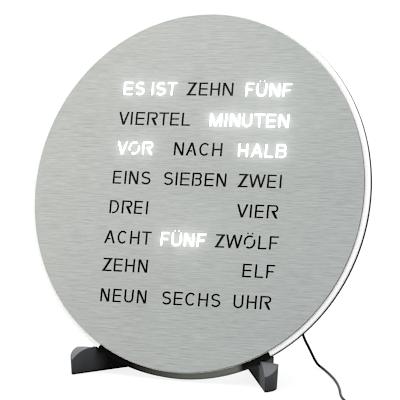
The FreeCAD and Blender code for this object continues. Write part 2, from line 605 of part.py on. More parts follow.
def foot_outline(w, tf, ta, z):
    """plan of the foot at height z: w wide, front at tf, rounded over ta"""
    pts = [V(w * math.sin(math.radians(a)), tf + ta - ta * math.cos(math.radians(a)), z) for a in range(0, 91, 6)]
    curve = Part.BSplineCurve()
    curve.interpolate(pts)
    e = [curve.toShape(), Part.LineSegment(pts[-1], V(w, FOOT_L - 5, z)).toShape(),
         Part.Arc(V(w, FOOT_L - 5, z), V(w - 1.46, FOOT_L - 1.46, z), V(w - 5, FOOT_L, z)).toShape(),
         Part.LineSegment(V(w - 5, FOOT_L, z), V(0, FOOT_L, z)).toShape(),
         Part.LineSegment(V(0, FOOT_L, z), pts[0]).toShape()]
    return Part.Wire(e)


def foot_plan():
    """sides drawn outwards from the underside up to the top, then upright"""
    low = Part.makeLoft([foot_outline(FOOT_W0, -0.4, 17.0, FOOT_CLEAR), foot_outline(FOOT_W, -1.0, 15.8, FOOT_TOP)], True, True)
    high = Part.Face(foot_outline(FOOT_W, -1.0, 15.8, FOOT_TOP)).extrude(V(0, 0, 45.0))
    return low.fuse(high).removeSplitter()


def foot_side():
    """side profile, extruded right across"""
    r = 24.0
    tc = 17.2
    zc = FOOT_TOP - r
    x = -3.0
    p0 = V(x, -2.5, FOOT_CLEAR)
    p1 = V(x, FOOT_L + 2, FOOT_CLEAR)
    p2 = V(x, FOOT_L + 2, TAIL_H)
    p3 = V(x, 78.0, TAIL_H)
    p4 = V(x, 58.0, 50.0)          # back of the back rest
    p5 = V(x, 50.0, 60.0)
    p6 = V(x, tc, 60.0)
    p7 = V(x, tc, FOOT_TOP)
    h0 = zc + math.sqrt(r * r - (tc + 2.5) ** 2)
    p8 = V(x, -2.5, h0)
    m = V(x, tc - r * math.sin(math.radians(25.0)), zc + r * math.cos(math.radians(25.0)))
    e = [Part.LineSegment(p0, p1).toShape(), Part.LineSegment(p1, p2).toShape(), Part.LineSegment(p2, p3).toShape(),
         Part.LineSegment(p3, p4).toShape(), Part.LineSegment(p4, p5).toShape(), Part.LineSegment(p5, p6).toShape(),
         Part.LineSegment(p6, p7).toShape(), Part.Arc(p7, m, p8).toShape(), Part.LineSegment(p8, p0).toShape()]
    return Part.Face(Part.Wire(e)).extrude(V(24, 0, 0))


def make_foot():
    f = foot_plan().common(foot_side())
    f = f.copy()
    f.Placement = FOOT
    # everything in front of the back rest is cut down to the top of the foot
    fwd = box(-300, 300, -300, 300, Z4 - 0.35, 300)
    fwd.Placement = SEAT
    fwd = fwd.common(box(-300, 300, -300, 300, FOOT_TOP, 300))
    f = f.cut(fwd)
    # the rim's seat
    seat = cyl(SEAT_R, Z4 - 0.35, 0.75)
    seat = seat.fuse(box(-(SEAT_R), SEAT_R, 0, 200, Z4 - 0.35, 0.75))
    seat.Placement = SEAT
    f = f.cut(seat)
    # outside the rim the foot's crest ends at the disc's front
    out = box(78.4, 300, -300, 300, -300, 0.75)
    out.Placement = SEAT
    f = f.cut(out.common(box(-300, 300, -300, 300, 15.0, 300)))
    # the back rest stays behind the disc, narrower the further back it goes
    rest = f.common(box(-300, 300, -300, 300, FOOT_TOP, 300))
    f = f.cut(box(-300, 300, -300, 300, FOOT_TOP, 300))
    cone = Part.makeCone(REST_R - 0.5 * 60.0, REST_R, 60.0, V(0, 0, Z4 - 60.0), V(0, 0, 1))
    cone.Placement = SEAT
    f = f.fuse(rest.common(cone))
    # the back rest stops below the raised box
    cap = box(-300, 300, -110.0, 300, -300, 300)
    cap.Placement = SEAT
    f = f.cut(cap)
    f = f.removeSplitter()
    return max(f.Solids, key=lambda s: s.Volume)


foot_r = make_foot()
# sockets under the foot for the pads, screw holes in the tail
FP = [(6.2, 15.0), (6.0, 62.0), (6.0, FOOT_L - 10.0)]


def at(w, t, z=0.0):
    return FOOT.multVec(V(w, t, z))


PAD_R = 4.2
foot_r = foot_r.cut([Part.makeCylinder(PAD_R + 0.05, 0.8, V(at(*q).x, at(*q).y, FOOT_CLEAR), V(0, 0, 1)) for q in FP])
SC = [(6.0, FOOT_L - 24.0), (6.0, FOOT_L - 12.0)]
foot_r = foot_r.cut([Part.makeCylinder(1.3, 6.0, V(at(*q).x, at(*q).y, TAIL_H - 5.5), V(0, 0, 1)) for q in SC])
print("foot solids", len(foot_r.Solids), foot_r.isValid(), "volume", round(foot_r.Volume))
foot_r = max(foot_r.Solids, key=lambda s: s.Volume)
MIR = (V(0, 0, 0), V(1, 0, 0))
foot_l = foot_r.mirror(*MIR)
emit("foot_right", foot_r)
emit("foot_left", foot_l)

# bridge plate across the two tails
A = at(0.8, FOOT_L - 29.0)
B = at(FOOT_W - 0.8, FOOT_L - 29.0)
C2 = at(FOOT_W - 0.8, FOOT_L - 6.0)
D = at(FOOT_W - 4.5, FOOT_L - 0.8)
pl = [(-D.x, D.y), (-C2.x, C2.y), (-B.x, B.y), (-A.x, A.y), (A.x, A.y), (B.x, B.y), (C2.x, C2.y), (D.x, D.y)]
bridge = poly(pl, TAIL_H, TAIL_H + 4.0)
eb = [e for e in bridge.Edges if all(abs(v.Z - (TAIL_H + 4.0)) < 1e-6 for v in e.Vertexes)]
bridge = bridge.makeFillet(1.2, eb)
SCP = [(at(*q).x, at(*q).y) for q in SC]
SCP = SCP + [(-x, y) for x, y in SCP]
bridge = bridge.cut([cyl(1.8, TAIL_H - 1, TAIL_H + 6, x, y) for x, y in SCP])
bridge = bridge.cut([cyl(3.3, TAIL_H + 2.0, TAIL_H + 6, x, y) for x, y in SCP])
emit("rear_bridge", bridge)
bs = []
for x, y in SCP:
    s = cyl(1.25, TAIL_H - 4.8, TAIL_H + 2.1, x, y).fuse(cyl(3.0, TAIL_H + 2.0, TAIL_H + 3.8, x, y))
    s = s.cut(box(x - 1.9, x + 1.9, y - .35, y + .35, TAIL_H + 2.9, TAIL_H + 5)).cut(box(x - .35, x + .35, y - 1.9, y + 1.9, TAIL_H + 2.9, TAIL_H + 5))
    bs.append(s)
emit("bridge_screws", bs)

fps = []
for q in FP:
    c = at(*q)
    for sg in (-1, 1):
        p = Part.makeCylinder(PAD_R, FOOT_CLEAR + 0.8, V(sg * c.x, c.y, 0), V(0, 0, 1))
        p = p.makeFillet(0.4, [e for e in p.Edges if len(e.Vertexes) == 1 and abs(e.Vertexes[0].Z) < 1e-6])
        fps.append(p)
emit("foot_pads", fps)

# ---------------------------------------------------------------------------
# power lead: right-angle plug, strain relief, cord, coil, tie, adaptor
# ---------------------------------------------------------------------------
PLUG_L = 23.0
RELIEF_L = 20.0
PR = 5.0
plug = cyl(PR, BACK_Z - 0.3 - PLUG_L, BACK_Z - 0.3, JX, JY)
plug = plug.makeFillet(1.2, [e for e in plug.Edges if len(e.Vertexes) == 1 and abs(e.Vertexes[0].Z - (BACK_Z - 0.3 - PLUG_L)) < 1e-6])
plug = plug.cut([cyl(PR + 1, BACK_Z - 6.4 - 2.2 * i, BACK_Z - 5.6 - 2.2 * i, JX, JY).cut(cyl(PR - 0.4, BACK_Z - 30, BACK_Z, JX, JY)) for i in range(6)])
barrel = cyl(2.75, BACK_Z - 0.4, BACK_Z + 8.6, JX, JY).cut(cyl(1.15, BACK_Z, BACK_Z + 10, JX, JY))
plug = plug.fuse(barrel).removeSplitter()
zr = BACK_Z - 0.3 - PLUG_L
relief = Part.makeCone(3.0, 1.45, RELIEF_L, V(JX, JY, zr), V(0, 0, -1))
grooves = []
for i in range(6):
    d = 2.4 + 2.7 * i
    ro = 3.0 - 1.55 * d / RELIEF_L
    grooves.append(cyl(ro + 1, zr - d - 1.0, zr - d, JX, JY).cut(cyl(max(ro - 0.6, 1.3), zr - d - 2, zr - d + 1, JX, JY)))
relief = relief.cut(grooves)
print("plug", len(plug.Solids), plug.isValid(), "relief", len(relief.Solids), relief.isValid())
emit("dc_plug", plug, PLC)
emit("plug_relief", relief, PLC)
EXIT = PLC.multVec(V(JX, JY, zr - RELIEF_L))
EDIR = PLC.Rotation.multVec(V(0, 0, -1))
print("cord exit", [round(a, 2) for a in EXIT], "direction", [round(a, 3) for a in EDIR])

# the lead drops behind the clock, lies forward over the table and is wound up
ROUTE = [
    (69.70, 45.94, 66.88), (69.70, 55.01, 64.2), (69.9, 61.01, 56.2), (70.1, 61.21, 45.2), (70.6, 57.51, 34.0),
    (74.6, 53.01, 24.5), (81.6, 50.81, 14.6), (88.2, 49.21, 3.2), (97.0, 42.51, 1.06), (107.0, 29.01, 1.06),
    (122.0, 7.51, 1.06), (138.0, -20.99, 1.06), (151.0, -50.99, 1.06), (168.0, -72.99, 1.06), (191.0, -67.49, 1.06),
    (208.0, -47.99, 1.3), (224.07, -32.06, 1.55),
]
COIL = (213.0, -20.99)
COIL_R0, COIL_R1 = 9.29, 15.65      # mid radii of the innermost and outermost turns
COIL_Z0 = 0.5
LAYERS = 4
PITCH = 2.12                        # turn to turn across the coil
RISE = 2.5                          # layer to layer
TAIL = [(227.61, -15.38, 9.05), (223.3, -4.19, 9.5), (218.85, 7.51, 11.0)]


def tube(route, d, name):
    """straight runs joined by tangent arcs"""
    P = [V(*p) for p in route]
    cur = P[0]
    edges = []
    length = 0.0
    radii = []
    for i in range(1, len(P) - 1):
        a, b, c = P[i - 1], P[i], P[i + 1]
        u = (b - a).normalize()
        w = (c - b).normalize()
        half = 0.5 * u.getAngle(w)
        r = 0.45 * min((b - a).Length, (c - b).Length) / math.tan(half)
        t = r * math.tan(half)
        p1 = b - u * t
        p2 = b + w * t
        bis = (w - u).normalize()
        ctr = b + bis * (r / math.cos(half))
        m = ctr - bis * r
        edges.append(Part.LineSegment(cur, p1).toShape())
        edges.append(Part.Arc(p1, m, p2).toShape())
        length += (p1 - cur).Length + 2 * half * r
        cur = p2
        radii.append(round(r, 1))
    edges.append(Part.LineSegment(cur, P[-1]).toShape())
    length += (P[-1] - cur).Length
    wire = Part.Wire(edges)
    dirn = (P[1] - P[0]).normalize()
    prof = Part.Wire([Part.makeCircle(d / 2.0, P[0], dirn)])
    sh = wire.makePipeShell([prof], True, True)
    print(name, "radii", radii, "length", round(length, 1), "volume", round(sh.Volume, 1), "expected", round(math.pi * d * d / 4 * length, 1), sh.isValid())
    return sh, length


t, LEN1 = tube(ROUTE, CORD_D, "cord_tube")
emit("cord_tube", t)
cz1 = COIL_Z0 + (LAYERS - 1) * RISE + CORD_D
ring = Part.makeCylinder(COIL_R1 + 1.05, cz1 - COIL_Z0, V(COIL[0], COIL[1], COIL_Z0), V(0, 0, 1))
ring = ring.cut(Part.makeCylinder(COIL_R0 - 1.05, 40, V(COIL[0], COIL[1], -5), V(0, 0, 1)))
ring = ring.makeFillet(0.9, [e for e in ring.Edges if len(e.Vertexes) == 1 and e.Length > 2 * math.pi * (COIL_R1 - 1)])
emit("cord_coil", ring)
# band round the turns
TA = 215.0
tie = box(COIL_R0 - 1.05 - 0.5, COIL_R1 + 1.05 + 0.5, -2.5, 2.5, COIL_Z0 - 0.5, cz1 + 0.5)
tie = tie.cut(box(COIL_R0 - 1.05 - 0.02, COIL_R1 + 1.05 + 0.02, -4, 4, COIL_Z0 - 0.02, cz1 + 0.02))
tie = tie.fuse(box(COIL_R1 + 1.05 + 0.45, COIL_R1 + 1.05 + 1.3, -2.5, 2.5, COIL_Z0 + 1.5, cz1 - 1.0))
tie.rotate(V(0, 0, 0), V(0, 0, 1), TA)
tie.translate(V(COIL[0], COIL[1], 0))
emit("coil_tie", tie)
t, LEN3 = tube(TAIL, CORD_D, "cord_tail")
emit("cord_tail", t)
drift = (COIL_R1 - COIL_R0) / PITCH
LEN2 = 2 * math.pi * (LAYERS * drift * 0.5 * (COIL_R0 + COIL_R1) + 2 * COIL_R0 + COIL_R1 + 0.18 * COIL_R1)
print("lead length", round(LEN1, 1), round(LEN2, 1), round(LEN3, 1), "total", round(LEN1 + LEN2 + LEN3, 1))

# plug-in supply lying on the table beside the coil
aa = math.radians(111.0)
AX = V(math.cos(aa), math.sin(aa), 0)
AY = V(-math.sin(aa), math.cos(aa), 0)
SUP = FreeCAD.Placement(FreeCAD.Matrix(AX.x, AY.x, 0, TAIL[-1][0],
                                       AX.y, AY.y, 0, TAIL[-1][1],
                                       0, 0, 1, 0,
                                       0, 0, 0, 1))
SUP_H = 22.0
sr = Part.makeCone(1.5, 2.8, 9.98, V(0.02, 0, SUP_H / 2), V(1, 0, 0))
sr = sr.cut([Part.makeCylinder(5, 0.9, V(2.0 + 2.2 * i, 0, SUP_H / 2), V(1, 0, 0)).cut(Part.makeCylinder(1.2 + 0.26 * i, 0.9, V(2.0 + 2.2 * i, 0, SUP_H / 2), V(1, 0, 0))) for i in range(3)])
emit("supply_relief", sr, SUP)
body = box(10.0, 50.0, -13.0, 13.0, 0, SUP_H)
body = body.makeFillet(3.0, [e for e in body.Edges if abs(e.Vertexes[0].X - e.Vertexes[1].X) > 1])
body = body.makeFillet(1.2, [e for e in body.Edges if all(abs(v.X - 10.0) < 1e-6 for v in e.Vertexes)])
groove = box(33.0, 33.5, -20, 20, -5, 40).cut(box(30, 36, -12.6, 12.6, 0.4, SUP_H - 0.4))
body = body.cut(groove)
emit("supply_body", body, SUP)
pins = []
for sg in (-1, 1):
    p = Part.makeCylinder(2.0, 18.0, V(50.0, sg * 9.5, SUP_H / 2), V(1, 0, 0))
    p = p.makeFillet(1.2, [e for e in p.Edges if len(e.Vertexes) == 1 and abs(e.Vertexes[0].X - 68.0) < 1e-6])
    pins.append(p)
emit("supply_pins", pins, SUP)

# overall box of what stands on the table, without the lead
lead = ("dc_plug", "plug_relief", "cord_tube", "cord_coil", "coil_tie", "cord_tail", "supply_relief", "supply_body", "supply_pins")
bb = FreeCAD.BoundBox()
for k, sh in NODES.items():
    if k not in lead:
        bb.add(sh.optimalBoundingBox(False) if hasattr(sh, "optimalBoundingBox") else sh.BoundBox)
print("box without the lead", [round(v, 3) for v in (bb.XMin, bb.YMin, bb.ZMin, bb.XMax, bb.YMax, bb.ZMax)])
print("nodes", len(NODES), "solids", sum(len(x.Solids) for x in NODES.values()))
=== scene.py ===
import math

import bmesh
import bpy
from mathutils import Matrix, Vector


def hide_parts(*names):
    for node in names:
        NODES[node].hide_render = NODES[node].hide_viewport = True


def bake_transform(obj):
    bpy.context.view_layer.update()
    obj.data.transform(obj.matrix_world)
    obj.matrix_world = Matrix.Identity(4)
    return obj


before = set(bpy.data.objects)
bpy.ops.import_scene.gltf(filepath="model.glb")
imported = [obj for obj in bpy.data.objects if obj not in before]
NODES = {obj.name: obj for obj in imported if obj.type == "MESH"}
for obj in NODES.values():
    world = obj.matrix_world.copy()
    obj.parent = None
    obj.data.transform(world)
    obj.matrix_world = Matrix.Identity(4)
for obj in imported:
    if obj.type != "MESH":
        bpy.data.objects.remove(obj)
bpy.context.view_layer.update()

# ---------------------------------------------------------------------------
# camera
# ---------------------------------------------------------------------------
cam_data = bpy.data.cameras.new("view")
cam = bpy.data.objects.new("view", cam_data)
bpy.context.scene.collection.objects.link(cam)
cam_data.sensor_fit = "HORIZONTAL"
cam_data.sensor_width = 36.0
cam_data.lens = 224.307
cam_data.clip_start, cam_data.clip_end = 0.05, 50.0
right = Vector((0.90341022, 0.42861886, -0.01165526))
up = Vector((-0.05220969, 0.13694259, 0.98920214))
back = Vector((0.42558679, -0.89304681, 0.14609339))
cam.matrix_world = Matrix((
    (right.x, up.x, back.x, 0.8846847),
    (right.y, up.y, back.y, -1.8459492),
    (right.z, up.z, back.z, 0.4467071),
    (0, 0, 0, 1)))
bpy.context.scene.camera = cam

# ---------------------------------------------------------------------------
# the clock's own frame: x right and y up in the dial's plane, z out of it
# ---------------------------------------------------------------------------
LEAN, TURN = math.radians(16.5), math.radians(1.4)
CEN = Vector((0.0, 0.00041, 0.1513))
UPV = Vector((0, math.sin(LEAN), math.cos(LEAN)))
NRM = Vector((0, -math.cos(LEAN), math.sin(LEAN)))
XD = Vector((1, 0, 0)) * math.cos(TURN) + UPV * math.sin(TURN)
YD = Vector((1, 0, 0)) * -math.sin(TURN) + UPV * math.cos(TURN)

# ---------------------------------------------------------------------------
# the lead: one smooth line from the plug to the supply
# ---------------------------------------------------------------------------
CORD_D = 0.0021
ROUTE = [
    (69.70, 45.94, 66.88), (69.70, 55.01, 64.2), (69.9, 61.01, 56.2), (70.1, 61.21, 45.2), (70.6, 57.51, 34.0),
    (74.6, 53.01, 24.5), (81.6, 50.81, 14.6), (88.2, 49.21, 3.2), (97.0, 42.51, 1.06), (107.0, 29.01, 1.06),
    (122.0, 7.51, 1.06), (138.0, -20.99, 1.06), (151.0, -50.99, 1.06), (168.0, -72.99, 1.06), (191.0, -67.49, 1.06),
    (208.0, -47.99, 1.3),
]
TAIL = [(223.3, -4.19, 9.5), (218.85, 7.51, 11.0), (218.4, 8.7, 11.0)]
COIL = (213.0, -20.99)
R_IN, R_OUT, STEP, RISE, Z0 = 9.29, 15.65, 2.12, 2.5, 1.58
PER_TURN = 16


def coil_point(s):
    """the winding after s turns: four layers, in and out, each three turns and one at its edge"""
    layer = min(int(s // 4), 3)
    u = s - 4 * layer
    inward = layer % 2 == 0
    r = R_OUT - STEP * min(u, 3.0) if inward else R_IN + STEP * min(u, 3.0)
    z = Z0 + RISE * layer
    if layer < 3:
        q = min(max((u - 2.88) / 0.5, 0.0), 1.0)
        z += RISE * q * q * (3 - 2 * q)
    r *= 1.011
    a = math.radians(-45.0 + 360.0 * s)
    return (COIL[0] + r * math.cos(a), COIL[1] + r * math.sin(a), z)


turns = 15.0 + 66.0 / 360.0
n_coil = int(round(turns * PER_TURN))
points = list(ROUTE) + [coil_point(turns * i / n_coil) for i in range(n_coil + 1)] + TAIL

line = bpy.data.curves.new("lead_line", "CURVE")
line.dimensions = "3D"
line.resolution_u = 5
sp = line.splines.new("NURBS")
sp.points.add(len(points) - 1)
for pt, p in zip(sp.points, points):
    pt.co = (p[0] / 1000, p[1] / 1000, p[2] / 1000, 1.0)
sp.order_u = 3
sp.use_endpoint_u = True
line_obj = bpy.data.objects.new("lead_line", line)
bpy.context.scene.collection.objects.link(line_obj)
bpy.context.view_layer.update()
smooth = bpy.data.meshes.new_from_object(line_obj)
centre = [v.co.copy() for v in smooth.vertices]
bpy.data.meshes.remove(smooth)
bpy.data.objects.remove(line_obj)
path = [centre[0]]
for c in centre[1:]:
    if (c - path[-1]).length > 1e-5:
        path.append(c)


def tube_mesh(name, pts, radius, sides=12):
    bm = bmesh.new()
    t = (pts[1] - pts[0]).normalized()
    n = t.orthogonal().normalized()
    rings = []
    for i, p in enumerate(pts):
        a = pts[max(i - 1, 0)]
        b = pts[min(i + 1, len(pts) - 1)]
        t2 = (b - a).normalized()
        n = (n - t2 * n.dot(t2)).normalized()
        bn = t2.cross(n)
        rings.append([bm.verts.new(p + (n * math.cos(2 * math.pi * k / sides) + bn * math.sin(2 * math.pi * k / sides)) * radius)
                      for k in range(sides)])
    for r0, r1 in zip(rings, rings[1:]):
        for k in range(sides):
            f = bm.faces.new((r0[k], r0[(k + 1) % sides], r1[(k + 1) % sides], r1[k]))
            f.smooth = True
    bm.faces.new(list(reversed(rings[0])))
    bm.faces.new(rings[-1])
    bmesh.ops.recalc_face_normals(bm, faces=bm.faces)
    me = bpy.data.meshes.new(name)
    bm.to_mesh(me)
    bm.free()
    o = bpy.data.objects.new(name, me)
    bpy.context.scene.collection.objects.link(o)
    return o


lead = tube_mesh("power_lead", path, CORD_D / 2)
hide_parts("cord_tube", "cord_coil", "cord_tail")
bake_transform(lead)

# ---------------------------------------------------------------------------
# materials
# ---------------------------------------------------------------------------


class Mat:
    """a node material on one Principled surface"""

    def __init__(self, name):
        self.m = bpy.data.materials.new(name)
        self.m.use_nodes = True
        self.nt = self.m.node_tree
        self.nt.nodes.clear()
        self.out = self.nt.nodes.new("ShaderNodeOutputMaterial")
        self.b = self.nt.nodes.new("ShaderNodeBsdfPrincipled")
        self.link(self.b.outputs[0], self.out.inputs[0])
        self.normal = None

    def link(self, a, b):
        self.nt.links.new(a, b)

    def node(self, kind, **props):
        n = self.nt.nodes.new("ShaderNode" + kind)
        for k, v in props.items():
            setattr(n, k, v)
        return n

    def set(self, **vals):
        for k, v in vals.items():
            self.b.inputs[k.replace("_", " ")].default_value = v
        return self

    def coords(self):
        t = self.node("TexCoord")
        return t.outputs["Object"]

    def scaled(self, vec, s):
        n = self.node("VectorMath", operation="MULTIPLY")
        self.link(vec, n.inputs[0])
        n.inputs[1].default_value = s if isinstance(s, (tuple, list)) else (s, s, s)
        return n.outputs[0]

    def dial(self):
        """position in the dial's own frame"""
        t = self.coords()
        sub = self.node("VectorMath", operation="SUBTRACT")
        self.link(t, sub.inputs[0])
        sub.inputs[1].default_value = CEN
        comb = self.node("CombineXYZ")
        for i, ax in enumerate((XD, YD, NRM)):
            d = self.node("VectorMath", operation="DOT_PRODUCT")
            self.link(sub.outputs[0], d.inputs[0])
            d.inputs[1].default_value = ax
            self.link(d.outputs["Value"], comb.inputs[i])
        return comb.outputs[0]

    def noise(self, vec, scale=1.0, detail=3.0, rough=0.55, distort=0.0):
        n = self.node("TexNoise")
        self.link(vec, n.inputs["Vector"])
        n.inputs["Scale"].default_value = scale
        n.inputs["Detail"].default_value = detail
        n.inputs["Roughness"].default_value = rough
        n.inputs["Distortion"].default_value = distort
        return n.outputs[0]

    def ramp(self, fac, stops):
        r = self.node("ValToRGB")
        self.link(fac, r.inputs[0])
        e = r.color_ramp.elements
        while len(e) < len(stops):
            e.new(0.5)
        for el, (p, c) in zip(e, stops):
            el.position = p
            el.color = (*c, 1.0) if len(c) == 3 else c
        return r.outputs[0]

    def remap(self, fac, a, b, c, d):
        m = self.node("MapRange")
        self.link(fac, m.inputs[0])
        for i, v in enumerate((a, b, c, d)):
            m.inputs[i + 1].default_value = v
        return m.outputs[0]

    def math(self, op, a, b=None):
        n = self.node("Math", operation=op)
        for i, v in enumerate((a, b)):
            if v is None:
                continue
            if isinstance(v, (int, float)):
                n.inputs[i].default_value = v
            else:
                self.link(v, n.inputs[i])
        return n.outputs[0]

    def bump(self, height, strength, dist):
        n = self.node("Bump")
        n.inputs["Strength"].default_value = strength
        n.inputs["Distance"].default_value = dist
        self.link(height, n.inputs["Height"])
        if self.normal is not None:
            self.link(self.normal, n.inputs["Normal"])
        self.normal = n.outputs[0]
        self.link(self.normal, self.b.inputs["Normal"])

    def soften(self, radius, samples=4):
        n = self.node("Bevel", samples=samples)
        n.inputs["Radius"].default_value = radius
        self.normal = n.outputs[0]
        self.link(self.normal, self.b.inputs["Normal"])

    def colour(self, sock):
        self.link(sock, self.b.inputs["Base Color"])

    def rough(self, sock):
        self.link(sock, self.b.inputs["Roughness"])


def tint(c, k):
    return tuple(min(1.0, v * k) for v in c)


def moulded(name, base, rough=0.45, spread=0.12, grain=900.0, bump=0.12, edge=0.0004, mottle=0.10, coat=0.0, spec=0.5, painted_shade_reach=0.0):
    """moulded plastic: fine spark texture, faint flow mottling, softened edges, and, with painted_shade_reach, painted
    shade near other pieces
    """
    m = Mat(name)
    m.set(Specular_IOR_Level=spec, Coat_Weight=coat)
    c = m.coords()
    if edge:
        m.soften(edge)
    big = m.noise(c, 38.0, 4.0, 0.6)
    face = m.ramp(big, [(0.32, tint(base, 1 - mottle)), (0.68, tint(base, 1 + mottle))])
    if painted_shade_reach:
        # painted shade: darker where another piece stands close
        ao = m.node("AmbientOcclusion", samples=12)
        ao.inputs["Distance"].default_value = painted_shade_reach
        mul = m.node("Mix", data_type="RGBA", blend_type="MULTIPLY")
        mul.inputs["Factor"].default_value = 1.0
        m.link(face, mul.inputs[6])
        m.link(m.ramp(ao.outputs["AO"], [(0.42, (0.05, 0.05, 0.05)), (0.80, (1.0, 1.0, 1.0))]), mul.inputs[7])
        face = mul.outputs[2]
        # painted shadow: the inner sides are darker under the disc
        g = m.node("NewGeometry")
        gn, gp, gd = (m.node("SeparateXYZ") for _ in range(3))
        m.link(g.outputs["Normal"], gn.inputs[0])
        m.link(c, gp.inputs[0])
        m.link(m.dial(), gd.inputs[0])
        inner = m.remap(m.math("MULTIPLY", gn.outputs[0], m.math("SIGN", gp.outputs[0])), -0.3, -0.6, 0.0, 1.0)
        gap = m.remap(gd.outputs[2], -0.015, -0.006, 0.94, 0.0)
        keep = m.math("SUBTRACT", 1.0, m.math("MULTIPLY", inner, gap))
        mul = m.node("Mix", data_type="RGBA", blend_type="MULTIPLY")
        mul.inputs["Factor"].default_value = 1.0
        m.link(face, mul.inputs[6])
        m.link(m.ramp(keep, [(0.0, (0.0, 0.0, 0.0)), (1.0, (1.0, 1.0, 1.0))]), mul.inputs[7])
        face = mul.outputs[2]
        dull = m.math("MULTIPLY", m.math("MULTIPLY", inner, gap), 0.6)
    m.colour(face)
    fine = m.noise(c, grain * 2.2, 3.0, 0.65)
    sheen = m.remap(m.noise(c, 160.0, 4.0), 0.3, 0.7, rough - spread / 2, rough + spread / 2)
    m.rough(m.math("ADD", sheen, dull) if painted_shade_reach else sheen)
    m.bump(fine, bump, 0.00012)
    return m.m


def metal(name, base, rough=0.3, streak=(900.0, 900.0, 60.0), bump=0.05):
    m = Mat(name)
    m.set(Metallic=1.0)
    c = m.coords()
    m.soften(0.00015)
    n = m.noise(m.scaled(c, streak), 1.0, 3.0)
    m.colour(m.ramp(n, [(0.3, tint(base, 0.86)), (0.7, tint(base, 1.1))]))
    m.rough(m.remap(m.noise(c, 400.0, 4.0), 0.3, 0.7, rough - 0.08, rough + 0.08))
    m.bump(n, bump, 0.0001)
    return m.m


# brushed aluminium front ----------------------------------------------------
def brushed_front():
    m = Mat("brushed_front")
    m.set(Metallic=1.0)
    d = m.dial()
    a = m.noise(m.scaled(d, (34.0, 1000.0, 0.0)), 1.0, 2.0, 0.55)
    b = m.noise(m.scaled(d, (90.0, 2000.0, 0.0)), 1.0, 2.0, 0.5)
    c = m.noise(m.scaled(d, (260.0, 6000.0, 0.0)), 1.0, 2.0, 0.6)
    big = m.noise(m.scaled(d, (4.0, 14.0, 0.0)), 1.0, 2.0, 0.5)
    s = m.math("ADD", m.math("MULTIPLY", a, 0.36), m.math("MULTIPLY", b, 0.34))
    s = m.math("ADD", s, m.math("MULTIPLY", c, 0.22))
    s = m.math("ADD", s, m.math("MULTIPLY", big, 0.08))
    face = m.ramp(s, [(0.36, (0.277, 0.283, 0.288)), (0.5, (0.361, 0.369, 0.374)), (0.64, (0.445, 0.454, 0.460))])
    # painted light: the sheet is lighter and a little warmer towards the upper left, standing for brighter reflected
    # light there
    along = m.node("VectorMath", operation="DOT_PRODUCT")
    m.link(d, along.inputs[0])
    along.inputs[1].default_value = (-0.894, 0.447, 0.0)
    painted_light_drift = m.ramp(m.remap(along.outputs["Value"], -0.15, 0.15, 0.0, 1.0),
                   [(0.1, (0.88, 0.90, 0.88)), (0.9, (0.98, 0.98, 0.94))])
    shade = m.node("Mix", data_type="RGBA", blend_type="MULTIPLY")
    shade.inputs["Factor"].default_value = 1.0
    m.link(face, shade.inputs[6])
    m.link(painted_light_drift, shade.inputs[7])
    face = shade.outputs[2]
    # painted shade: the sheet's cut edges, in the letters too, are painted near-black, darker than its brushed face
    g = m.node("NewGeometry")
    dot = m.node("VectorMath", operation="DOT_PRODUCT")
    m.link(g.outputs["Normal"], dot.inputs[0])
    dot.inputs[1].default_value = NRM
    front = m.remap(dot.outputs["Value"], 0.45, 0.65, 0.0, 1.0)
    mix = m.node("Mix", data_type="RGBA")
    m.link(front, mix.inputs["Factor"])
    m.link(m.ramp(c, [(0.3, (0.020, 0.021, 0.021)), (0.7, (0.034, 0.035, 0.035))]), mix.inputs[6])
    m.link(face, mix.inputs[7])
    m.colour(mix.outputs[2])
    m.rough(m.remap(a, 0.3, 0.7, 0.38, 0.50))
    m.bump(m.math("ADD", m.math("MULTIPLY", a, 0.5), m.math("MULTIPLY", c, 0.5)), 0.08, 0.00008)
    return m.m


def opal():
    """white acrylic, polished edge"""
    m = Mat("opal_acrylic")
    m.set(Roughness=0.12, Specular_IOR_Level=0.5, IOR=1.49, Subsurface_Weight=0.25, Subsurface_Scale=0.003)
    m.b.inputs["Subsurface Radius"].default_value = (1.0, 1.0, 1.0)
    c = m.coords()
    n = m.noise(c, 24.0, 3.0)
    m.colour(m.ramp(n, [(0.3, (0.670, 0.670, 0.660)), (0.7, (0.708, 0.706, 0.694))]))
    # painted light: the sheet glows a little on its face and more at its edge, to brighten the rim
    g = m.node("NewGeometry")
    dot = m.node("VectorMath", operation="DOT_PRODUCT")
    m.link(g.outputs["True Normal"], dot.inputs[0])
    dot.inputs[1].default_value = NRM
    m.link(m.ramp(dot.outputs["Value"], [(0.1, (0.30, 0.297, 0.290)), (0.8, (0.120, 0.119, 0.116))]), m.b.inputs["Emission Color"])
    m.b.inputs["Emission Strength"].default_value = 1.0
    m.bump(m.noise(c, 700.0, 2.0), 0.02, 0.0001)
    return m.m


def lit_window():
    m = Mat("lit_white")
    m.set(Roughness=0.35)
    d = m.dial()
    n = m.noise(m.scaled(d, (90.0, 160.0, 0.0)), 1.0, 2.0)
    m.colour(m.ramp(n, [(0.3, (0.92, 0.93, 0.92)), (0.7, (1.0, 1.0, 1.0))]))
    m.link(m.ramp(n, [(0.3, (0.94, 0.97, 0.97)), (0.7, (1.0, 1.0, 1.0))]), m.b.inputs["Emission Color"])
    m.b.inputs["Emission Strength"].default_value = 2.7
    return m.m


def film(name, base, rough, spec=0.1):
    m = Mat(name)
    m.set(Specular_IOR_Level=spec)
    d = m.dial()
    n = m.noise(m.scaled(d, (120.0, 120.0, 0.0)), 1.0, 3.0)
    m.colour(m.ramp(n, [(0.3, tint(base, 0.8)), (0.7, tint(base, 1.25))]))
    m.rough(m.remap(m.noise(d, 300.0, 3.0), 0.3, 0.7, rough - 0.05, rough + 0.05))
    m.bump(m.noise(d, 900.0, 2.0), 0.03, 0.0001)
    return m.m


